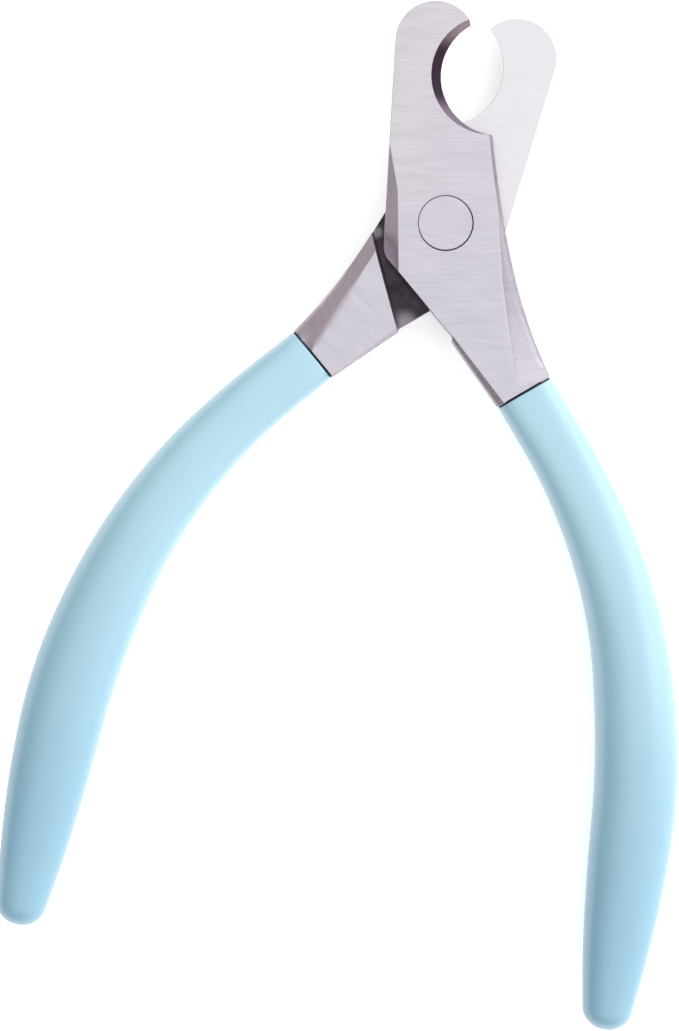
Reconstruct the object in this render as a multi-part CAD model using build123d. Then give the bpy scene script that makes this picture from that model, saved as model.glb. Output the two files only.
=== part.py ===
from build123d import *
from math import cos, radians, sin, tan
import os

# Plier-type pet nail clipper: two forged levers crossed at a lap joint, one flush rivet, two grips.
#
# Units are millimetres.  The tool lies flat: blades towards +Y, handles towards -Y, and the rivet's
# axis is the Z axis.  The origin is on that axis, on the back face of the head.  Each lever is drawn
# closed, as the front lever (blade to the left, handle to the right, outer face up), about the lap
# plane between the two blades, and is then opened by REST_HALF_ANGLE and lifted to its place.  The
# rear lever is the same forging turned over about the Y axis.

os.makedirs("parts", exist_ok=True)

# Levers
HALF_THICKNESS = 3.2        # a blade's thickness, and half of the neck's
LAP_CLEARANCE = 0.03        # each lap face stands this far from the lap plane
REST_HALF_ANGLE = 14.0      # how far each lever is open at rest

# Blade: a straight back that runs into a round nose
NOSE_CENTRE = (0.3, 23.2)
NOSE_RADIUS = 5.1
BACK_LEAN = 7.1             # angle between the blade's back and the Y axis

# Notch: an oblique bore, so that its ground bevel is widest on the side away from the other blade
NOTCH_CENTRE = (8.25, 18.4)
NOTCH_RADIUS = 7.5          # at the cutting edge, on the lap plane
NOTCH_FACE_SHIFT = -1.25    # how far the bore's centre has moved at the outer face
NOTCH_FACE_GROWTH = 0.08    # and how much larger its radius is there

# Boss around the rivet, and the neck below it
BOSS_CORNER = (-8.17, -3.3)
BOSS_CORNER_RADIUS = 2.6
LAP_FOOT = (-0.1, -14.45)
NECK_HEEL = (-0.1, -14.95)
NECK_INNER_END = (5.2, -23.65)
NECK_OUTER_END = (12.0, -20.3)
OUTER_EDGE_TOP = (6.72, 11.6)
OUTER_EDGE_WAIST = [(7.45, 0.0), (8.1, -5.2), (9.15, -11.0), (10.45, -15.9)]

# Cuts into the outline: the line where each one meets a flat face, its slope and its depth
SHOULDER = ((0.0, -15.07), (12.0, -0.4))
SHOULDER_SLOPE = 82
BOSS_FACET = ((-6.4, -6.0), (-5.8, 4.5), (-6.6, 12.5))
BOSS_FACET_SLOPE = 40
OUTER_FACET = ((6.75, 2.5), (6.75, -8.0), (7.6, -21.5))
OUTER_FACET_SLOPE = 14
BACK_OUTER_FACET = ((9.0, -22.5), (6.2, -4.0))
BACK_OUTER_FACET_SLOPE = 32
INNER_FACET = ((6.3, -24.0), (-0.05, -14.45))
INNER_FACET_SLOPE = 60
BACK_INNER_FACET = ((-0.06, -14.22), (5.63, -24.09))
BACK_INNER_FACET_SLOPE = 50
EDGE_BEVEL_WIDTH = 0.5      # bevel along the outer edge: its width on the outer face
EDGE_BEVEL_DEPTH = 1.7      # and its depth on the side

# Handle: centre and half width of the grip at even stations from its mouth to its end
HANDLE_STATIONS = (
    (8.6, -22.0, 3.85),
    (13.6, -32.0, 4.02),
    (17.3, -42.0, 4.42),
    (19.5, -52.5, 4.8),
    (20.1, -63.0, 5.22),
    (19.5, -73.5, 5.38),
    (17.65, -84.0, 5.1),
    (15.55, -94.0, 4.25),
    (13.4, -104.1, 2.85),
)
MOUTH_HALF_DEPTH = 3.5      # the grip's half thickness at its mouth
GRIP_HALF_DEPTH = 4.7       # along the palm
END_HALF_DEPTH = 2.8        # and at its end
END_ROUNDING = 2.5          # fillet around the closed end
MOUTH_GAP = 0.3             # open groove between the neck and the grip
TANG_INSET = 1.4            # wall of the grip beside the tang
TANG_HALF_DEPTH = 2.2

# Rivet
SHANK_RADIUS = 2.7
RIVET_HEAD_RADIUS = 3.46
RIVET_RIM = 0.3             # straight rim above the countersunk cone
RIVET_CONE = 0.76           # depth of the cone, which widens at 45 degrees
RIVET_EDGE = 0.08           # chamfer on the rim, and on the countersink around it
RING_GAP = 0.06             # gap around each head
RUNNING_CLEARANCE = 0.03    # radial gap around the shank in the rear lever

FAR = 70.0                  # how far a cutting tool reaches past the lever
MARGIN = 1.0                # how far a cutting tool stands above a face


def flat_vector(point):
    """A plan point, given as numbers or as a vector, on the lap plane."""
    x, y, *_ = point
    return Vector(x, y, 0)


def lever_plan():
    """Outline of the whole steel head and neck, before the notch is bored."""
    lean = radians(BACK_LEAN)
    centre = flat_vector(NOSE_CENTRE)
    back_top = centre + Vector(-cos(lean), sin(lean)) * NOSE_RADIUS
    nose_top = centre + Vector(0, NOSE_RADIUS)
    nose_right = centre + Vector(NOSE_RADIUS, 0)
    outline = [
        ThreePointArc(back_top, nose_top, nose_right),
        Line(nose_right, OUTER_EDGE_TOP),
        Spline(OUTER_EDGE_TOP, *OUTER_EDGE_WAIST, NECK_OUTER_END),
        Polyline(NECK_OUTER_END, NECK_INNER_END, NECK_HEEL, LAP_FOOT, BOSS_CORNER, back_top),
    ]
    face = make_face(outline)
    corner = face.vertices().sort_by_distance(flat_vector(BOSS_CORNER))[0]
    return fillet(corner, BOSS_CORNER_RADIUS)


def ground_cut(start, end, slope, side, depth=HALF_THICKNESS):
    """Wedge that grinds a face back to a slope, on the left of the line from start to end.

    side is 1 for the outer face and -1 for the back face, where left is as seen from behind.
    """
    up = Vector(0, 0, side)
    along = flat_vector(end) - flat_vector(start)
    outward = up.cross(along).normalized()
    origin = flat_vector(start) + up * HALF_THICKNESS
    section = Polygon(
        (0, MARGIN),
        (0, 0),
        (depth / tan(radians(slope)), -depth),
        (FAR, -depth),
        (FAR, MARGIN),
        align=None,
    )
    return extrude(Plane(origin, x_dir=outward, z_dir=along) * section, along.length)


def faded_facet(points, slope, side):
    """Ground facet along two lines that meet, which fades out at each end."""
    first, knee, last = (flat_vector(point) for point in points)
    onward = (knee - first).normalized() * FAR
    backward = (knee - last).normalized() * FAR
    return ground_cut(first, knee + onward, slope, side) & ground_cut(knee + backward, last, slope, side)


def outer_edge_bevel():
    """Wedge that bevels the outer face's outer edge, from the notch to the mouth of the grip."""
    slope = EDGE_BEVEL_WIDTH / EDGE_BEVEL_DEPTH
    sections = []
    for height in (HALF_THICKNESS - EDGE_BEVEL_DEPTH, HALF_THICKNESS + MARGIN):
        inset = Vector((HALF_THICKNESS - EDGE_BEVEL_DEPTH - height) * slope, 0, height)
        edge = [flat_vector(point) + inset for point in (OUTER_EDGE_TOP, *OUTER_EDGE_WAIST, NECK_OUTER_END)]
        foot = edge[-1] + (edge[-1] - edge[-2])
        aside = Vector(FAR, 0, 0)
        outline = [Spline(*edge), Polyline(edge[-1], foot, foot + aside, edge[0] + aside, edge[0])]
        sections.append(make_face(outline))
    return loft(sections, ruled=True)


def lap_recess():
    """Everything behind the lap face, up to the sloping shoulder, where the other blade swings."""
    low, high = (flat_vector(point) for point in SHOULDER)
    reach = (high - low).normalized() * FAR
    return ground_cut(high + reach, low - reach, SHOULDER_SLOPE, -1, HALF_THICKNESS + LAP_CLEARANCE)


def notch_bore():
    """The oblique bore whose edge on the lap plane is the cutting edge."""
    sections = []
    for height in (-MARGIN, HALF_THICKNESS + MARGIN):
        share = height / HALF_THICKNESS
        centre = Vector(NOTCH_CENTRE[0] + NOTCH_FACE_SHIFT * share, NOTCH_CENTRE[1], height)
        sections.append(Plane(centre) * Circle(NOTCH_RADIUS + NOTCH_FACE_GROWTH * share))
    return loft(sections, ruled=True)


def rivet_profile(shank, gap, edge):
    """Half section of the rivet, or of the hole it needs when gap is more than zero."""
    top = HALF_THICKNESS
    head = RIVET_HEAD_RADIUS + gap
    cone_foot = top - RIVET_RIM - RIVET_CONE - gap
    half = [
        (0, top),
        (head + edge, top),
        (head, top - abs(edge)),
        (head, top - RIVET_RIM - gap),
        (shank, cone_foot),
    ]
    mirrored = [(radius, -height) for radius, height in reversed(half)]
    return Plane.XZ * Polygon(*half, *mirrored, align=None)


def rivet():
    """Flush rivet with a countersunk head on each face."""
    return revolve(rivet_profile(SHANK_RADIUS, 0, -RIVET_EDGE), Axis.Z)


def rivet_hole(clearance):
    """Countersunk hole through both levers, with the given radial gap around the shank."""
    return revolve(rivet_profile(SHANK_RADIUS + clearance, RING_GAP, RIVET_EDGE), Axis.Z)


def handle_frames():
    """Plane across the handle and half width at each station, with each plane's Z down the handle."""
    mouth_line = flat_vector(NECK_OUTER_END) - flat_vector(NECK_INNER_END)
    centres = [flat_vector(station) for station in HANDLE_STATIONS]
    frames = []
    for index, (_, _, half_width) in enumerate(HANDLE_STATIONS):
        before = centres[max(index - 1, 0)]
        after = centres[min(index + 1, len(centres) - 1)]
        down = mouth_line.cross(Vector(0, 0, 1)) if index == 0 else after - before
        across = Vector(0, 0, 1).cross(down).normalized()
        frames.append((Plane(centres[index], x_dir=across, z_dir=down), half_width))
    return frames


def half_depth(share):
    """The grip's half thickness at a share of its length, fullest along the palm."""
    if share < 0.5:
        swell = sin(radians(90) * share / 0.5)
        return MOUTH_HALF_DEPTH + (GRIP_HALF_DEPTH - MOUTH_HALF_DEPTH) * swell
    taper = cos(radians(90) * (share - 0.5) / 0.5)
    return END_HALF_DEPTH + (GRIP_HALF_DEPTH - END_HALF_DEPTH) * taper


def grip_section(plane, half_width, depth, share):
    """Rounded section of the grip, boxy at the mouth and nearly oval further down."""
    roundness = 0.6 + 0.35 * min(share / 0.4, 1)
    radius = roundness * min(half_width, depth)
    return plane * RectangleRounded(2 * half_width, 2 * depth, radius)


def grip_body():
    """Outer form of a grip, before the tang's hollow is taken out."""
    frames = handle_frames()
    last = len(frames) - 1
    sections = []
    for index, (plane, half_width) in enumerate(frames):
        share = index / last
        place = plane.offset(MOUTH_GAP) if index == 0 else plane
        sections.append(grip_section(place, half_width, half_depth(share), share))
    body = loft(sections)
    end_edges = body.faces().sort_by_distance(frames[last][0].origin)[0].edges()
    return fillet(end_edges, END_ROUNDING)


def tang():
    """Flat steel bar inside the grip, with a round end one station short of the grip's."""
    inner_side = []
    outer_side = []
    for plane, half_width in handle_frames()[:-1]:
        half_bar = half_width - TANG_INSET
        inner_side.append(plane.origin - plane.x_dir * half_bar)
        outer_side.append(plane.origin + plane.x_dir * half_bar)
    end = plane.origin + plane.z_dir * half_bar
    root = handle_frames()[0][0].z_dir * -MARGIN
    outline = [
        Polyline(inner_side[0], inner_side[0] + root, outer_side[0] + root, outer_side[0]),
        Spline(*outer_side),
        ThreePointArc(outer_side[-1], end, inner_side[-1]),
        Spline(*reversed(inner_side)),
    ]
    return extrude(make_face(outline), TANG_HALF_DEPTH, both=True)


def lever(shank_clearance):
    """One steel lever, closed: blade, boss, neck and tang."""
    blank = extrude(lever_plan(), HALF_THICKNESS, both=True)
    blank -= outer_edge_bevel()
    blank -= lap_recess()
    blank -= notch_bore()
    blank -= faded_facet(BOSS_FACET, BOSS_FACET_SLOPE, 1)
    blank -= faded_facet(OUTER_FACET, OUTER_FACET_SLOPE, 1)
    blank -= ground_cut(*BACK_OUTER_FACET, BACK_OUTER_FACET_SLOPE, -1)
    blank -= ground_cut(*INNER_FACET, INNER_FACET_SLOPE, 1)
    blank -= ground_cut(*BACK_INNER_FACET, BACK_INNER_FACET_SLOPE, -1)
    blank -= rivet_hole(shank_clearance)
    return blank + tang()


def grip():
    """One closed-end grip, which fits its tang without a gap."""
    return grip_body() - tang()


def lift(shape):
    """Move a piece from the lap plane's frame to the part's own."""
    return Pos(0, 0, HALF_THICKNESS) * shape


def place_front(shape):
    """Open a front piece to the rest pose."""
    return lift(Rot(0, 0, REST_HALF_ANGLE) * shape)


def place_rear(shape):
    """Turn a piece over about the Y axis and open it to the rest pose."""
    return lift(Rot(0, 0, -REST_HALF_ANGLE) * Rot(0, 180, 0) * shape)


def main():
    parts = {
        "front_lever": place_front(lever(0)),
        "rear_lever": place_rear(lever(RUNNING_CLEARANCE)),
        "pivot_rivet": lift(rivet()),
        "front_grip": place_front(grip()),
        "rear_grip": place_rear(grip()),
    }
    for name, shape in parts.items():
        export_step(shape, f"parts/{name}.step")


if __name__ == "__main__":
    main()
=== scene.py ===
from math import cos, pi, radians, sin

import bpy
from mathutils import Matrix, Vector

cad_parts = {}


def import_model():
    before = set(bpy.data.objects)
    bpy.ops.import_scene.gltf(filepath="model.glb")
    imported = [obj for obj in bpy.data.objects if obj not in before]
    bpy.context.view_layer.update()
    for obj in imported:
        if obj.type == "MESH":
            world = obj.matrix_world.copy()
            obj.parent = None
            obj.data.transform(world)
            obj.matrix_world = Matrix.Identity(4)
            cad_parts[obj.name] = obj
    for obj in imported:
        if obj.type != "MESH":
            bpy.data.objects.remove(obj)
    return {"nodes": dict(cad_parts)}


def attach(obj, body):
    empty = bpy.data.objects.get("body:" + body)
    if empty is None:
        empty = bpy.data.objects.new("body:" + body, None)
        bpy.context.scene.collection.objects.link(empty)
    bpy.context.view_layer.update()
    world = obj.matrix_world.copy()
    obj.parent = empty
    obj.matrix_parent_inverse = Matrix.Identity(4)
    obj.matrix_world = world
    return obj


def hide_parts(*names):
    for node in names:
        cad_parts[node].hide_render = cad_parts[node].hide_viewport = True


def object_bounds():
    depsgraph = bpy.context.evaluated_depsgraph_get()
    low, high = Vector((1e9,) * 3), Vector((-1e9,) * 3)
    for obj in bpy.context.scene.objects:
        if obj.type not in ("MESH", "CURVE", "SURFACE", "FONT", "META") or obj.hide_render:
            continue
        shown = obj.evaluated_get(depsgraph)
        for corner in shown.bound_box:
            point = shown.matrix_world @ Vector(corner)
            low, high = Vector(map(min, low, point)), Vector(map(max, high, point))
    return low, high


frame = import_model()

for leftover in ("Cube", "Light", "Camera"):
    if leftover in bpy.data.objects:
        bpy.data.objects.remove(bpy.data.objects[leftover])
cad_low, cad_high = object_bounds()

MM = 0.001
LAP_HEIGHT = 3.2 * MM          # the plane between the two blades; the head is 6.4 mm thick
REST_HALF_ANGLE = 14.0         # degrees that each lever is open at rest
VIEW_ROLL = 10.14              # degrees that the camera is turned about the view axis
FRONT_GRIND = VIEW_ROLL        # degrees about Z of each piece's grinding lines; these run level
REAR_GRIND = -VIEW_ROLL - 20
RIVET_GRIND = VIEW_ROLL - 14

# ---------------------------------------------------------------- node-tree helpers


def rgb(red, green, blue):
    """Linear colour from 8-bit display values."""
    def linear(value):
        share = value / 255
        return share / 12.92 if share <= 0.04045 else ((share + 0.055) / 1.055) ** 2.4
    return (linear(red), linear(green), linear(blue), 1.0)


class Tree:
    """A new material; most methods add a node to it and give back the node's output."""

    def __init__(self, name):
        self.material = bpy.data.materials.new(name)
        self.material.use_nodes = True
        self.nodes = self.material.node_tree.nodes
        self.links = self.material.node_tree.links
        self.shader = self.nodes["Principled BSDF"]

    def link(self, source, target):
        self.links.new(source, target)

    def add(self, kind, **settings):
        """A node of a kind, with its properties set."""
        node = self.nodes.new("ShaderNode" + kind)
        for key, value in settings.items():
            setattr(node, key, value)
        return node

    def feed(self, node, **inputs):
        """Sets or links inputs, with underscores for the spaces in their names."""
        for key, value in inputs.items():
            socket = node.inputs[key.replace("_", " ")]
            if isinstance(value, bpy.types.NodeSocket):
                self.link(value, socket)
            else:
                socket.default_value = value
        return node

    def coordinates(self, turn=0.0, stretch=(1, 1, 1)):
        """Object coordinates in axes turned about Z by degrees, each then multiplied by its stretch."""
        place = self.add("TexCoord").outputs["Object"]
        turned = self.add("Mapping", vector_type="TEXTURE")
        self.feed(turned, Vector=place, Rotation=(0, 0, radians(turn)))
        scaled = self.add("Mapping")
        self.feed(scaled, Vector=turned.outputs["Vector"], Scale=stretch)
        return scaled.outputs["Vector"]

    def noise(self, vector, scale, detail=2.0, roughness=0.5):
        node = self.add("TexNoise")
        self.feed(node, Vector=vector, Scale=scale, Detail=detail, Roughness=roughness)
        return node.outputs["Fac"]

    def ramp(self, factor, *stops):
        """Colour ramp through (position, colour) stops."""
        node = self.add("ValToRGB")
        elements = node.color_ramp.elements
        while len(elements) < len(stops):
            elements.new(0.5)
        for element, (position, color) in zip(elements, stops):
            element.position = position
            element.color = color
        self.link(factor, node.inputs["Fac"])
        return node.outputs["Color"]

    def streaked(self, lines, dark, light):
        """Colour from dark to light over the middle values of a streak pattern."""
        return self.ramp(lines, (0.34, dark), (0.66, light))

    def clouded(self, patches, first, second):
        """Colour from first to second over the middle values of a cloudy pattern."""
        return self.ramp(patches, (0.3, first), (0.7, second))

    def remap(self, value, low, high, to_low, to_high):
        node = self.add("MapRange")
        self.feed(node, Value=value, From_Min=low, From_Max=high, To_Min=to_low, To_Max=to_high)
        return node.outputs["Result"]

    def mix(self, factor, first, second, blend="MIX"):
        node = self.add("Mix", data_type="RGBA", blend_type=blend)
        for index, value in ((0, factor), (6, first), (7, second)):
            if isinstance(value, bpy.types.NodeSocket):
                self.link(value, node.inputs[index])
            else:
                node.inputs[index].default_value = value
        return node.outputs[2]

    def math(self, operation, first, second):
        node = self.add("Math", operation=operation)
        for socket, value in zip(node.inputs, (first, second)):
            if isinstance(value, bpy.types.NodeSocket):
                self.link(value, socket)
            else:
                socket.default_value = value
        return node.outputs[0]

    def blend(self, first, second, share):
        """Weighted sum of two values, with this share of the first."""
        part = self.math("MULTIPLY", first, share)
        rest = self.math("MULTIPLY", second, 1 - share)
        return self.math("ADD", part, rest)

    def plan(self, turn=0.0, side=1):
        """Place in mm with its height left out, in axes turned about Z by degrees; side -1 mirrors X."""
        return self.coordinates(turn, (side / MM, 1 / MM, 0))

    def lever_plan(self, side):
        """Plan place in a lever's own outline, the same for both; side is 1 front and -1 rear."""
        return self.plan(REST_HALF_ANGLE * side, side)

    def past(self, place, start, toward, low, high):
        """0 to 1 as a place moves from low to high mm past the start, measured toward a direction."""
        offset = self.add("VectorMath", operation="SUBTRACT")
        self.link(place, offset.inputs[0])
        offset.inputs[1].default_value = (*start, 0)
        reach = self.add("VectorMath", operation="DOT_PRODUCT")
        self.link(offset.outputs["Vector"], reach.inputs[0])
        reach.inputs[1].default_value = Vector((*toward, 0)).normalized()
        return self.smooth(reach.outputs["Value"], low, high)

    def near(self, place, point, inner, outer):
        """1 at inner mm from a point and 0 at outer mm, whichever of the two is larger."""
        gap = self.add("VectorMath", operation="DISTANCE")
        self.link(place, gap.inputs[0])
        gap.inputs[1].default_value = (*point, 0)
        return self.smooth(gap.outputs["Value"], outer, inner)

    def smooth(self, value, low, high):
        node = self.add("MapRange", interpolation_type="SMOOTHSTEP")
        self.feed(node, Value=value, From_Min=low, From_Max=high)
        return node.outputs["Result"]

    def bump(self, height, strength, distance, edge_radius=None):
        """Fine relief, over edges rounded by edge_radius in metres: a number, a socket or None."""
        node = self.add("Bump")
        self.feed(node, Height=height, Strength=strength, Distance=distance)
        if edge_radius is not None:
            rounded = self.add("Bevel", samples=6)
            self.feed(rounded, Radius=edge_radius)
            self.link(rounded.outputs["Normal"], node.inputs["Normal"])
        self.link(node.outputs["Normal"], self.shader.inputs["Normal"])

    def finish(self, **inputs):
        self.feed(self.shader, **inputs)
        return self.material


# ---------------------------------------------------------------- materials


EDGE_RADIUS = 0.07 * MM        # rounding of ordinary edges
SOFT_RADIUS = 1.1 * MM         # and of the hand-finished edges on the necks
MARK_HEIGHT = 0.02 * MM        # relief of the finest marks in the steel
CRISP = {"detail": 3.0, "roughness": 0.6}          # noise with hard little marks, not soft patches
BLENDED_NECKS = {              # what Tree.past takes: beyond an edge, below the boss, off the grip
    1: [((6.4, 0), (1, 0), -0.6, 0.4), ((0, 1), (0, -1), 0, 8), ((0, -20.0), (0, 1), 0, 1.2)],
    -1: [((7.4, -13.0), (1, -0.16), -1.6, 0.2), ((0, -8), (0, -1), 0, 7), ((0, -21.5), (0, 1), 0, 1)],
}


def soft_neck(tree, side):
    """Edge radius over a lever: large along the blended outer edge of its neck, small elsewhere."""
    plan = tree.lever_plan(side)
    beyond, below, clear = [tree.past(plan, *limit) for limit in BLENDED_NECKS[side]]
    share = tree.math("MULTIPLY", tree.math("MULTIPLY", beyond, below), clear)
    return tree.remap(share, 0, 1, EDGE_RADIUS, SOFT_RADIUS)


def grinding_lines(tree, turn):
    """Fine straight lines along an axis turned about Z by degrees."""
    return tree.noise(tree.coordinates(turn, (0.05, 1, 1)), 5200, **CRISP)


def ground_steel(name, turn, light, dark, side=0, highlight_gain=1.0):
    """Flat steel face with straight grinding lines and soft cloudy patches, cooler towards the handles.

    The tone is multiplied by highlight_gain towards the handles: a painted highlight, brightening the
    facets there.
    With a side, the outer edge of that lever's neck is rounded; without one, no edge is.
    """
    tree = Tree(name)
    broad = tree.noise(tree.coordinates(turn, (0.14, 1, 1)), 1100, **CRISP)
    lines = tree.blend(grinding_lines(tree, turn), broad, 0.55)
    tone = tree.streaked(lines, dark, light)
    if highlight_gain != 1.0:
        low = tree.past(tree.plan(), (0, -6), (0, -1), 0, 12)
        tone = tree.mix(low, tone, (highlight_gain, highlight_gain, highlight_gain, 1), "MULTIPLY")
    cloud = tree.noise(tree.coordinates(), 95)
    height = tree.past(tree.plan(), (0, 0), (0, 1), -18, 26)
    cool = tree.math("SUBTRACT", tree.math("ADD", cloud, 0.35), tree.math("MULTIPLY", height, 0.7))
    tint = tree.clouded(cool, rgb(253, 252, 253), rgb(246, 247, 252))
    color = tree.mix(1.0, tone, tint, "MULTIPLY")
    roughness = tree.remap(lines, 0.3, 0.7, 0.42, 0.34)
    radius = None
    if side:
        away_from_rivet = tree.near(tree.plan(), (0, 0), 4.6, 3.9)
        radius = tree.math("MULTIPLY", soft_neck(tree, side), away_from_rivet)
    tree.bump(lines, 0.3, MARK_HEIGHT, radius)
    return tree.finish(Base_Color=color, Metallic=1.0, Roughness=roughness)


def belt_marks(tree):
    """Short belt marks along the tool, mixed with soft patches."""
    streak = tree.noise(tree.coordinates(0, (1, 0.15, 1)), 2600, **CRISP)
    cloud = tree.noise(tree.coordinates(), 260)
    return tree.blend(streak, cloud, 0.55)


def edge_steel(name, light, dark, side=0):
    """Belt-polished bevels, sides and tangs, a little rougher than the ground faces."""
    tree = Tree(name)
    marks = belt_marks(tree)
    color = tree.streaked(marks, dark, light)
    roughness = tree.remap(marks, 0.3, 0.7, 0.5, 0.38)
    radius = soft_neck(tree, side) if side else EDGE_RADIUS
    tree.bump(marks, 0.3, MARK_HEIGHT, radius)
    return tree.finish(Base_Color=color, Metallic=1.0, Roughness=roughness)


def ring_steel(name):
    """The rim of the rivet's hole: bright steel, painted darker in its lower right half as shade."""
    tree = Tree(name)
    marks = belt_marks(tree)
    # painted shade: the lower right half of the rim is darker
    darkened = tree.past(tree.plan(), (0, 0), (0.8, -0.6), -3.2, 2.6)
    bright = tree.streaked(marks, rgb(206, 200, 206), rgb(220, 214, 220))
    shade_color = tree.streaked(marks, rgb(96, 88, 98), rgb(120, 110, 122))
    tree.bump(marks, 0.2, MARK_HEIGHT)
    return tree.finish(Base_Color=tree.mix(darkened, bright, shade_color), Metallic=1.0, Roughness=0.42)


def notch_steel(name, side):
    """The notch's bevel: painted dark as shade and glossy, with a painted reflection lightening it
    towards the pivot, and brown towards the nose.
    """
    tree = Tree(name)
    marks = belt_marks(tree)
    plan = tree.lever_plan(side)
    deep = tree.past(plan, (0, 15.2), (0, 1), -1.2, 1.4)
    nose = tree.past(plan, (0, 22.0), (0, 1), 0, 3)
    dark = tree.streaked(marks, rgb(27, 20, 27), rgb(43, 36, 43))
    light = tree.streaked(marks, rgb(128, 118, 132), rgb(150, 140, 154))
    brown = tree.streaked(marks, rgb(146, 133, 137), rgb(168, 155, 159))
    color = tree.mix(nose, tree.mix(deep, light, dark), brown)
    roughness = tree.remap(marks, 0.3, 0.7, 0.4, 0.3)
    tree.bump(marks, 0.2, MARK_HEIGHT, EDGE_RADIUS)
    edge_on = rgb(220, 205, 219)
    return tree.finish(Base_Color=color, Metallic=1.0, Roughness=roughness, Specular_Tint=edge_on)


def glint_spot(tree, plan, cloud, point, inner, outer, least):
    """A patchy painted glint around a point of the plan; least is its strength where it is faintest."""
    patches = tree.remap(cloud, 0.4, 0.6, least, 1.0)
    return tree.math("MULTIPLY", tree.near(plan, point, inner, outer), patches)


def lap_steel(name, side):
    """Lap face: bright ground steel on the blade, nearly black from the pivot down, with painted glints
    near the neck and the rim.
    """
    tree = Tree(name)
    plan = tree.lever_plan(side)
    cloud = tree.noise(tree.coordinates(), 420, **CRISP)
    blade = tree.past(plan, (0, 0.5), (0, 1), -2.0, 2.0)
    # painted glints: lighter patches that stand in for reflected light near the neck and at the outer
    # rim
    neck_glint = glint_spot(tree, plan, cloud, (-0.5, -13.9), 0.1, 2.5, 0.6)
    rim_glint = glint_spot(tree, plan, cloud, (7.6, -4.5), 0.2, 1.1, 0.5)
    darkened = tree.ramp(cloud, (0.3, rgb(45, 40, 45)), (0.75, rgb(68, 62, 68)))
    glinted = tree.mix(tree.math("MAXIMUM", neck_glint, rim_glint), darkened, rgb(142, 136, 142))
    lines = grinding_lines(tree, REST_HALF_ANGLE * side)
    bright = tree.streaked(lines, rgb(210, 207, 212), rgb(215, 212, 217))
    color = tree.mix(blade, glinted, bright)
    roughness = tree.remap(tree.math("ADD", blade, cloud), 0.3, 1.6, 0.24, 0.42)
    tree.bump(cloud, 0.12, MARK_HEIGHT, EDGE_RADIUS)
    return tree.finish(Base_Color=color, Metallic=1.0, Roughness=roughness)


def groove_shade_vinyl(name):
    """Painted shade: dark vinyl in the narrow groove between the neck and the grip, standing in for the
    shade there.
    """
    tree = Tree(name)
    shade_pattern = tree.noise(tree.coordinates(), 900, **CRISP)
    color = tree.clouded(shade_pattern, rgb(44, 50, 58), rgb(62, 70, 80))
    tree.bump(shade_pattern, 0.2, 0.03 * MM)
    return tree.finish(Base_Color=color, Roughness=0.7, Specular_IOR_Level=0.3)


def grip_vinyl(name):
    """Smooth satin vinyl with a faint skin texture, darker towards its closed end as painted shade."""
    tree = Tree(name)
    skin = tree.noise(tree.coordinates(), 2600, 3.0, 0.55)
    swell = tree.noise(tree.coordinates(), 160)
    tone = tree.noise(tree.coordinates(), 45)
    at_mouth = tree.clouded(tone, rgb(163, 203, 219), rgb(168, 207, 223))
    at_end = tree.clouded(tone, rgb(136, 181, 203), rgb(141, 185, 207))
    # painted shade: the colour darkens from the mouth to the closed end, standing in for the light
    # falling off down the handle
    color = tree.mix(tree.past(tree.plan(), (0, -30), (0, -1), 0, 65), at_mouth, at_end)
    roughness = tree.remap(skin, 0.3, 0.7, 0.32, 0.4)
    tree.bump(tree.blend(skin, swell, 0.25), 0.12, 0.04 * MM)
    return tree.finish(Base_Color=color, Roughness=roughness, Specular_IOR_Level=0.8, Coat_Weight=0.3)


LIGHT_STEEL = rgb(203, 198, 204)
SHADE_STEEL = rgb(191, 186, 192)
# painted shade: the facets are a darker copy of the ground steel, standing in for the dimmer light they
# reflect
LIGHT_FACET = rgb(168, 162, 168)
SHADE_FACET = rgb(154, 148, 154)
FACET_HIGHLIGHT_GAIN = 1.34              # painted highlight: brightening of the facets towards the handles
materials = {
    "front_ground": ground_steel("front_ground_steel", FRONT_GRIND, LIGHT_STEEL, SHADE_STEEL, 1),
    "rear_ground": ground_steel("rear_ground_steel", REAR_GRIND, LIGHT_STEEL, SHADE_STEEL, -1),
    "rivet": ground_steel("rivet_steel", RIVET_GRIND, LIGHT_STEEL, SHADE_STEEL),
    "front_facet": ground_steel(
        "front_facet_steel", FRONT_GRIND, LIGHT_FACET, SHADE_FACET, 1, FACET_HIGHLIGHT_GAIN),
    "rear_facet": ground_steel(
        "rear_facet_steel", REAR_GRIND, LIGHT_FACET, SHADE_FACET, -1, FACET_HIGHLIGHT_GAIN),
    "front_ring": ring_steel("front_ring_steel"),
    "rear_ring": ring_steel("rear_ring_steel"),
    "front_edge": edge_steel("front_edge_steel", rgb(215, 201, 211), rgb(192, 179, 189), 1),
    "rear_edge": edge_steel("rear_edge_steel", rgb(221, 206, 216), rgb(198, 183, 193), -1),
    # painted shade: the sides and inner facets are darker copies of the edge steel, standing in for the
    # dim surroundings they reflect
    "side": edge_steel("side_steel", rgb(166, 158, 168), rgb(130, 122, 132)),
    "inner": edge_steel("inner_facet_steel", rgb(139, 127, 136), rgb(106, 95, 103)),
    "front_lap": lap_steel("front_lap_steel", 1),
    "rear_lap": lap_steel("rear_lap_steel", -1),
    "front_notch": notch_steel("front_notch_steel", 1),
    "rear_notch": notch_steel("rear_notch_steel", -1),
    # painted shade: the tang and the neck's end wall are nearly black, standing in for the shade in the
    # gap at the mouth
    "tang": edge_steel("tang_shade_steel", rgb(58, 62, 72), rgb(36, 40, 48)),
    "vinyl": grip_vinyl("blue_grip_vinyl"),
    "groove": groove_shade_vinyl("groove_shade_vinyl"),
}

# ---------------------------------------------------------------- steel parts

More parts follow.
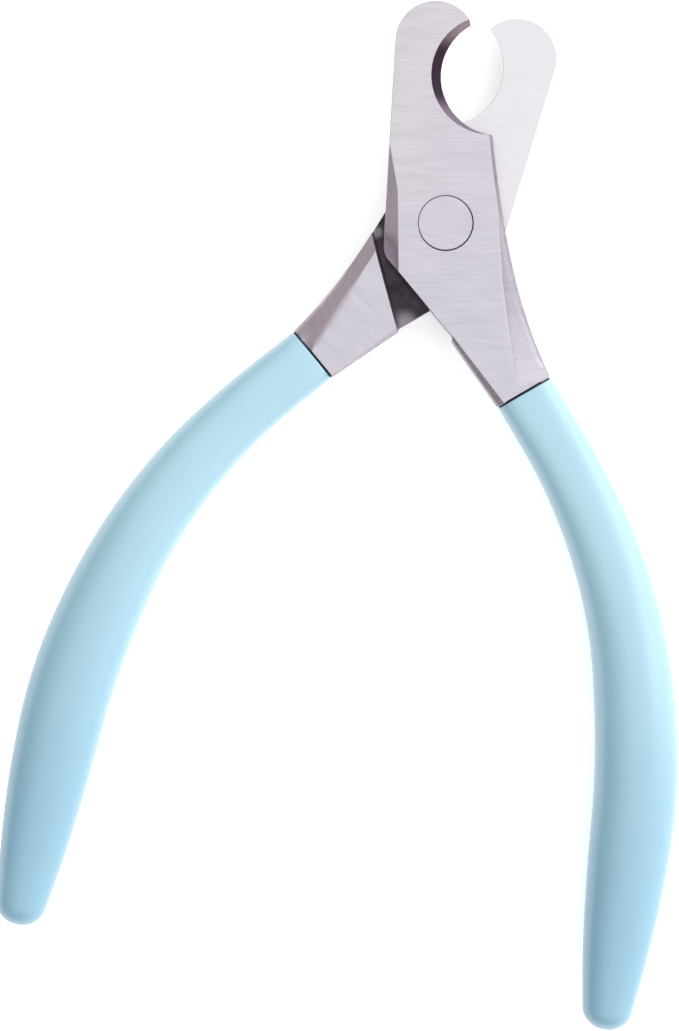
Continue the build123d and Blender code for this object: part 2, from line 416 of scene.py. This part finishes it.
NOTCH_CENTRE = Vector((8.25, 18.4)) * MM
NOTCH_REACH = 9.2 * MM
MOUTH = Vector((8.6, -22.0)) * MM                  # where the neck ends and the tang begins
MOUTH_DIRECTION = Vector((0.442, -0.897))          # down the handle, square to the mouth
RING_RADIUS = 4.4 * MM                             # takes in the rim of the rivet's hole
NOTCH_START = 10 * MM                              # how far up the lever the notch begins
# How squarely a face looks along Z, from 0 when it is upright to 1 when it is flat:
FLAT = 0.985                   # at least this on the ground faces and the laps,
NEARLY_FLAT = 0.95             # and this on the wide facets beside them;
SLANTED = 0.55                 # less than this on the inner facets,
UPRIGHT = 0.4                  # and than this on the sides
FINISHES = ("ground", "facet", "ring", "edge", "inner", "lap", "notch", "side", "tang")


def forging_point(center, outer_side):
    """A point of a lever at rest in the plan of the closed front lever."""
    turn = Matrix.Rotation(radians(-REST_HALF_ANGLE * outer_side), 2)
    plan = turn @ Vector((center.x, center.y))
    return Vector((plan.x * outer_side, plan.y))


def face_kind(center, normal, outer_side):
    """The finish of one of a lever's faces; outer_side is 1 for the front lever, -1 for the rear."""
    depth = (center.z - LAP_HEIGHT) * outer_side
    facing = normal.z * outer_side
    plan = forging_point(center, outer_side)
    if (plan - MOUTH).dot(MOUTH_DIRECTION) > -0.02 * MM:
        return "tang"
    if abs(facing) > FLAT and abs(depth) > 0.97 * LAP_HEIGHT:
        return "ground"
    if plan.length < RING_RADIUS:
        return "ring"
    if facing > NEARLY_FLAT and depth > 0.6 * LAP_HEIGHT:
        return "facet"
    if facing < -FLAT and abs(depth) < 0.1 * LAP_HEIGHT:
        return "lap"
    if (plan - NOTCH_CENTRE).length < NOTCH_REACH and plan.y > NOTCH_START and depth > 0:
        return "notch"
    if abs(facing) < UPRIGHT:
        return "side"
    return "inner" if abs(facing) < SLANTED else "edge"


def dress_lever(side_name, outer_side):
    """Gives each face of a lever its own finish."""
    mesh = frame["nodes"][side_name + "_lever"].data
    mesh.materials.clear()
    for finish in FINISHES:
        key = finish if finish in materials else side_name + "_" + finish
        mesh.materials.append(materials[key])
    for polygon in mesh.polygons:
        kind = face_kind(polygon.center, polygon.normal, outer_side)
        polygon.material_index = FINISHES.index(kind)


dress_lever("front", 1)
dress_lever("rear", -1)
rivet_mesh = frame["nodes"]["pivot_rivet"].data
rivet_mesh.materials.clear()
rivet_mesh.materials.append(materials["rivet"])

# ---------------------------------------------------------------- grips

# The grips' sizes are in mm, and places along a grip are counted in spans between its stations.
GRIP_STATIONS = [              # x and y of the centre, and half width, on the closed front lever
    (8.6, -22.0, 3.85),
    (13.6, -32.0, 4.02),
    (17.3, -42.0, 4.42),
    (19.5, -52.5, 4.8),
    (20.1, -63.0, 5.22),
    (19.5, -73.5, 5.38),
    (17.65, -84.0, 5.1),
    (15.55, -94.0, 4.25),
    (13.4, -104.1, 2.85),
]
LAST = len(GRIP_STATIONS) - 1  # the place of the closed end
RING_POINTS = 56
RINGS_PER_SPAN = 9             # rings along the outside,
SOCKET_RINGS_PER_SPAN = 4      # along the socket,
LIP_STEPS = 4                  # round the lip
END_RINGS = 9                  # and round the closed end,
END_GAP = 0.6                  # where the last one stops this part of a step short of the tip
MOUTH_HALF_DEPTH = 3.5         # half thickness at the mouth,
PALM_HALF_DEPTH = 4.7          # halfway along
TIP_HALF_DEPTH = 2.8           # and at the closed end
MOUTH_POWER = 3.6              # superellipse powers: a rounded box at the mouth,
PALM_POWER = 2.25              # an oval along the palm,
END_POWER = 2.2                # nearly an ellipse at the end
SOCKET_POWER = 12              # and a sharp box in the socket
GROOVE_WIDTH = 0.24            # open groove between the neck and the grip, painted dark as shade
GROOVE_DEPTH = 0.6             # how far the groove's floor lies in from the flat faces
GROOVE_INSET = 0.12            # and from the edges
LIP_RADIUS = 0.2
SOCKET_WALL = 1.4
SOCKET_HALF_DEPTH = 2.2
END_ROUNDING = 2.6             # how far the sections draw in round the closed end,
END_SPAN = 0.24                # over this last part of a span
FIRST_PLACE = 0.1              # where the outside starts behind the lip
STRAIGHT_MOUTH = 0.7           # spans over which sections turn from the mouth's plane to the grip's
AIM_STEP = 0.05                # how far on either side the handle's direction is taken
SKIN = 0.03                    # the sleeve's surface lies this far inside the CAD one
PAINTED_SHADE_START = 1.5 * SKIN       # the part of the mouth painted dark as shade, in mm from the mouth's plane
PAINTED_SHADE_END = GROOVE_WIDTH + 0.3 * LIP_RADIUS
SHARP_ANGLE = radians(50)      # edges sharper than this aren't shaded smooth


def along(place):
    """Centre and half width at a place, on a Catmull-Rom curve through the stations."""
    span = min(int(place), LAST - 1)
    t = place - span
    points = [Vector(GRIP_STATIONS[min(max(span + step, 0), LAST)]) for step in (-1, 0, 1, 2)]
    if span == 0:
        points[0] = 2 * points[1] - points[2]
    if span == LAST - 1:
        points[3] = 2 * points[2] - points[1]
    before, start, end, after = points
    return 0.5 * (
        2 * start
        + (end - before) * t
        + (2 * before - 5 * start + 4 * end - after) * t ** 2
        + (3 * start - before - 3 * end + after) * t ** 3
    )


def half_depth(share):
    """The grip's half thickness at a share of its length."""
    if share < 0.5:
        return MOUTH_HALF_DEPTH + (PALM_HALF_DEPTH - MOUTH_HALF_DEPTH) * sin(pi * share)
    return TIP_HALF_DEPTH + (PALM_HALF_DEPTH - TIP_HALF_DEPTH) * cos(pi * (share - 0.5))


def ring(place, width, depth, power, push=0.0):
    """Points of one superellipse section, pushed along the handle by some mm."""
    station = along(place)
    ahead = along(min(place + AIM_STEP, LAST)) - along(max(place - AIM_STEP, 0))
    down = Vector((ahead.x, ahead.y, 0)).normalized()
    share = min(place / STRAIGHT_MOUTH, 1)
    down = (MOUTH_DIRECTION.to_3d() * (1 - share) + down * share).normalized()
    across = Vector((-down.y, down.x, 0))
    middle = Vector((station.x, station.y, 0)) + down * push
    points = []
    for step in range(RING_POINTS):
        angle = 2 * pi * step / RING_POINTS
        x = abs(cos(angle)) ** (2 / power) * width * (1 if cos(angle) > 0 else -1)
        z = abs(sin(angle)) ** (2 / power) * depth * (1 if sin(angle) > 0 else -1)
        points.append(middle + across * x + Vector((0, 0, z)))
    return points


def outer_power(share):
    """The outer section's power at a share of the length; the palm's oval is reached at 0.4."""
    return MOUTH_POWER - (MOUTH_POWER - PALM_POWER) * min(share / 0.4, 1) ** 0.7


def sleeve_rings():
    """All rings of a grip: up the socket, round the lip, down the outside and round the end."""
    rings = []
    for step in range((LAST - 1) * SOCKET_RINGS_PER_SPAN, 0, -1):
        place = step / SOCKET_RINGS_PER_SPAN
        half_width = along(place).z - SOCKET_WALL
        rings.append(ring(place, half_width, SOCKET_HALF_DEPTH, SOCKET_POWER))
    mouth = GRIP_STATIONS[0][2] - SKIN
    mouth_depth = half_depth(0) - SKIN
    rings.append(ring(0, mouth - SOCKET_WALL, SOCKET_HALF_DEPTH, SOCKET_POWER, SKIN))
    for push in (SKIN, GROOVE_WIDTH):
        rings.append(ring(0, mouth - GROOVE_INSET, mouth_depth - GROOVE_DEPTH, MOUTH_POWER, push))
    for step in range(LIP_STEPS + 1):
        angle = pi / 2 * step / LIP_STEPS
        inset = LIP_RADIUS * (1 - sin(angle))
        push = GROOVE_WIDTH + LIP_RADIUS * (1 - cos(angle))
        rings.append(ring(0, mouth - inset, mouth_depth - inset, MOUTH_POWER, push))
    end_place = LAST - END_SPAN
    steps = (LAST - 1) * RINGS_PER_SPAN
    for step in range(1, steps + 1):
        place = FIRST_PLACE + (end_place - FIRST_PLACE) * step / steps
        share = place / LAST
        half_width = along(place).z - SKIN
        rings.append(ring(place, half_width, half_depth(share) - SKIN, outer_power(share)))
    for step in range(1, END_RINGS + 1):
        angle = pi / 2 * step / (END_RINGS + END_GAP)
        place = end_place + END_SPAN * sin(angle)
        inset = END_ROUNDING * (1 - cos(angle)) + SKIN
        half_width = along(place).z - inset
        rings.append(ring(place, half_width, half_depth(place / LAST) - inset, END_POWER))
    return rings


def sleeve(name, body, node, outer_side):
    """One grip as a closed skin with a blind socket for the tang."""
    rings = sleeve_rings()
    vertices = [point for points in rings for point in points]
    faces = []
    for index in range(len(rings) - 1):
        for step in range(RING_POINTS):
            corner = index * RING_POINTS + step
            beside = index * RING_POINTS + (step + 1) % RING_POINTS
            faces.append((corner, beside, beside + RING_POINTS, corner + RING_POINTS))
    first = len(vertices)
    for points in (rings[0], rings[-1]):
        vertices.append(sum(points, Vector()) / RING_POINTS)
    last_ring = first - RING_POINTS
    for step in range(RING_POINTS):
        beside = (step + 1) % RING_POINTS
        faces.append((first, beside, step))
        faces.append((first + 1, last_ring + step, last_ring + beside))
    turn = Matrix.Rotation(radians(REST_HALF_ANGLE * outer_side), 4, "Z")
    if outer_side < 0:
        turn = turn @ Matrix.Rotation(pi, 4, "Y")
    placed = [(turn @ point) * MM + Vector((0, 0, LAP_HEIGHT)) for point in vertices]
    mesh = bpy.data.meshes.new(name)
    mesh.from_pydata(placed, [], faces)
    mesh.validate()
    mesh.shade_smooth()
    mesh.set_sharp_from_angle(angle=SHARP_ANGLE)
    mesh.materials.append(materials["vinyl"])
    mesh.materials.append(materials["groove"])
    # faces round the mouth get the groove vinyl, a painted shade
    for polygon in mesh.polygons:
        reach = (forging_point(polygon.center, outer_side) - MOUTH).dot(MOUTH_DIRECTION) / MM
        if PAINTED_SHADE_START < reach < PAINTED_SHADE_END:
            polygon.material_index = 1
    piece = bpy.data.objects.new(name, mesh)
    bpy.context.collection.objects.link(piece)
    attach(piece, body)
    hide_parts(node)


sleeve("front_grip_sleeve", "front_half", "front_grip", 1)
sleeve("rear_grip_sleeve", "rear_half", "rear_grip", -1)

# ---------------------------------------------------------------- floor, light and camera


FLOOR_HALF = 2.0               # metres
FLOOR_GAP = 0.1 * MM           # between the grips and the floor
FLOOR_GLOW = 0.42              # emission that keeps the pale floor near white


def floor():
    """A plain pale table just under the tool."""
    mesh = bpy.data.meshes.new("floor")
    signs = ((-1, -1), (1, -1), (1, 1), (-1, 1))
    corners = [(FLOOR_HALF * x, FLOOR_HALF * y, 0) for x, y in signs]
    mesh.from_pydata(corners, [], [(0, 1, 2, 3)])
    table = bpy.data.objects.new("floor", mesh)
    table.location.z = cad_low.z - FLOOR_GAP
    bpy.context.collection.objects.link(table)
    tree = Tree("floor_paint")
    grain = tree.noise(tree.coordinates(), 60)
    color = tree.clouded(grain, rgb(250, 250, 250), rgb(255, 255, 255))
    white = {"Emission_Color": (1, 1, 1, 1), "Emission_Strength": FLOOR_GLOW}
    mesh.materials.append(tree.finish(Base_Color=color, Roughness=0.8, **white))


KEY_OFFSET = Vector((0.42, 0.30, 0.30))            # metres from the tool's middle to the softbox
KEY_SIZE = 0.5                 # metres
KEY_POWER = 1.0                # watts


def key_light():
    """A square softbox above the tool, to the right and past its head, that faces its middle."""
    data = bpy.data.lights.new("key", "AREA")
    data.size = KEY_SIZE
    data.energy = KEY_POWER
    lamp = bpy.data.objects.new("key", data)
    lamp.location = (cad_low + cad_high) / 2 + KEY_OFFSET
    lamp.rotation_euler = (-KEY_OFFSET).to_track_quat("-Z", "Y").to_euler()
    bpy.context.collection.objects.link(lamp)


VIEW_DISTANCE = 500 * MM       # from the head's front face up to the camera
VIEW_WIDTH = 86.35 * MM        # width of the view at that face
VIEW_CENTRE = Vector((-6.73, -39.0, 6.4)) * MM     # the middle of the view, on that face
SENSOR_WIDTH = 36.0            # mm
FRAME_WIDTH, FRAME_HEIGHT = 679, 1031              # only their ratio counts


def camera():
    """Looks straight down on the tool, turned by VIEW_ROLL about its own axis."""
    data = bpy.data.cameras.new("camera")
    data.sensor_fit = "AUTO"
    data.sensor_width = SENSOR_WIDTH
    long_side = VIEW_WIDTH * FRAME_HEIGHT / FRAME_WIDTH
    data.lens = SENSOR_WIDTH * VIEW_DISTANCE / long_side
    data.clip_start = 0.01
    data.clip_end = 20
    eye = bpy.data.objects.new("camera", data)
    eye.location = VIEW_CENTRE + Vector((0, 0, VIEW_DISTANCE))
    eye.rotation_euler = (0, 0, radians(VIEW_ROLL))
    bpy.context.collection.objects.link(eye)
    bpy.context.scene.camera = eye


BRIGHT_SIDE = (0.6, 0.25, 0.76)
DOME_SPREAD = {"From Min": -0.25, "From Max": 0.85, "To Min": 0.2, "To Max": 1.36}


def world():
    """A white studio, brightest towards BRIGHT_SIDE: above and to the right, and dim opposite.

    From is how squarely a direction faces that side, and To is the light's strength there.
    """
    room = bpy.data.worlds.new("studio")
    room.use_nodes = True
    nodes = room.node_tree.nodes
    links = room.node_tree.links
    direction = nodes.new("ShaderNodeTexCoord").outputs["Generated"]
    facing = nodes.new("ShaderNodeVectorMath")
    facing.operation = "DOT_PRODUCT"
    facing.inputs[1].default_value = Vector(BRIGHT_SIDE).normalized()
    links.new(direction, facing.inputs[0])
    spread = nodes.new("ShaderNodeMapRange")
    spread.interpolation_type = "SMOOTHSTEP"
    for name, value in DOME_SPREAD.items():
        spread.inputs[name].default_value = value
    links.new(facing.outputs["Value"], spread.inputs["Value"])
    background = nodes["Background"]
    background.inputs["Color"].default_value = (1, 1, 1, 1)
    links.new(spread.outputs["Result"], background.inputs["Strength"])
    bpy.context.scene.world = room


floor()
world()
key_light()
camera()
bpy.context.scene.view_settings.view_transform = "Standard"
